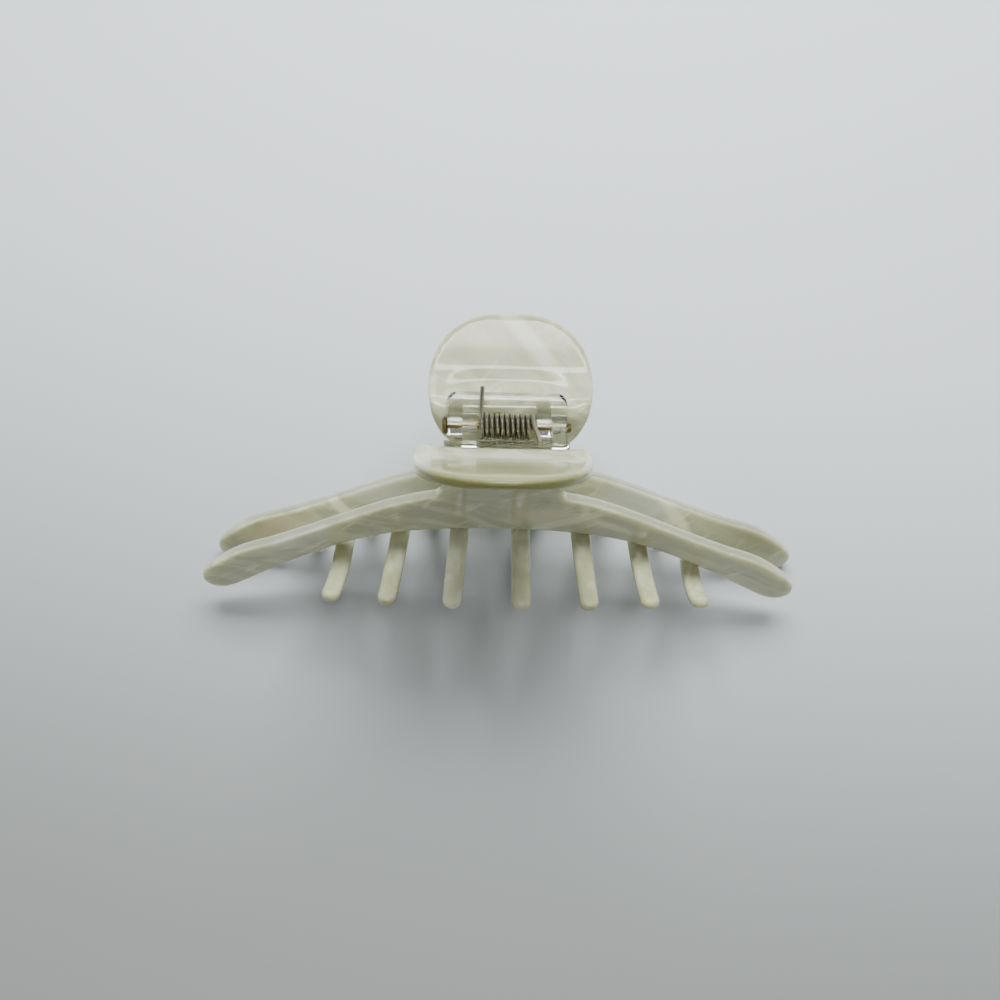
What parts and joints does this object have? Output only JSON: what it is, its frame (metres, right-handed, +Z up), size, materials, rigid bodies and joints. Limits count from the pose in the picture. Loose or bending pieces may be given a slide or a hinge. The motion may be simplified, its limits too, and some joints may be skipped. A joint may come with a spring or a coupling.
{
  "type": "claw hair clip",
  "caption": "Long claw hair clip with round thumb plates, arched wings and interleaved curved teeth, hinged on a sprung pin.",
  "frame": {"origin": "middle of the bounding box's base, on the table that the closed clip lies on", "axes": "+X along the hinge pin and the long side, +Y towards the thumb plate that lies back, +Z up"},
  "size_m": [0.1166, 0.0538, 0.0533],
  "materials": {
    "pearl_plastic": "glossy translucent pearl",
    "clear_plastic": "glossy clear",
    "pin_brass": "polished",
    "spring_steel": "nickel plated wire"
  },
  "bodies": {
    "back_half": {"back_jaw": "pearl_plastic", "back_bracket": "clear_plastic", "hinge_pin": "pin_brass", "torsion_spring": "spring_steel"},
    "front_half": {"front_jaw": "pearl_plastic", "front_bracket": "clear_plastic"}
  },
  "joints": [
    {"name": "jaw_hinge", "type": "hinge", "parent": "back_half", "child": "front_half", "pos_m": [0, 0.00408, 0.03364], "axis": [-1, 0, 0], "range_deg": [0, 90], "stiffness_Nm_per_rad": 0.1, "springref_deg": -57.3, "deforming": ["torsion_spring"]}
  ]
}
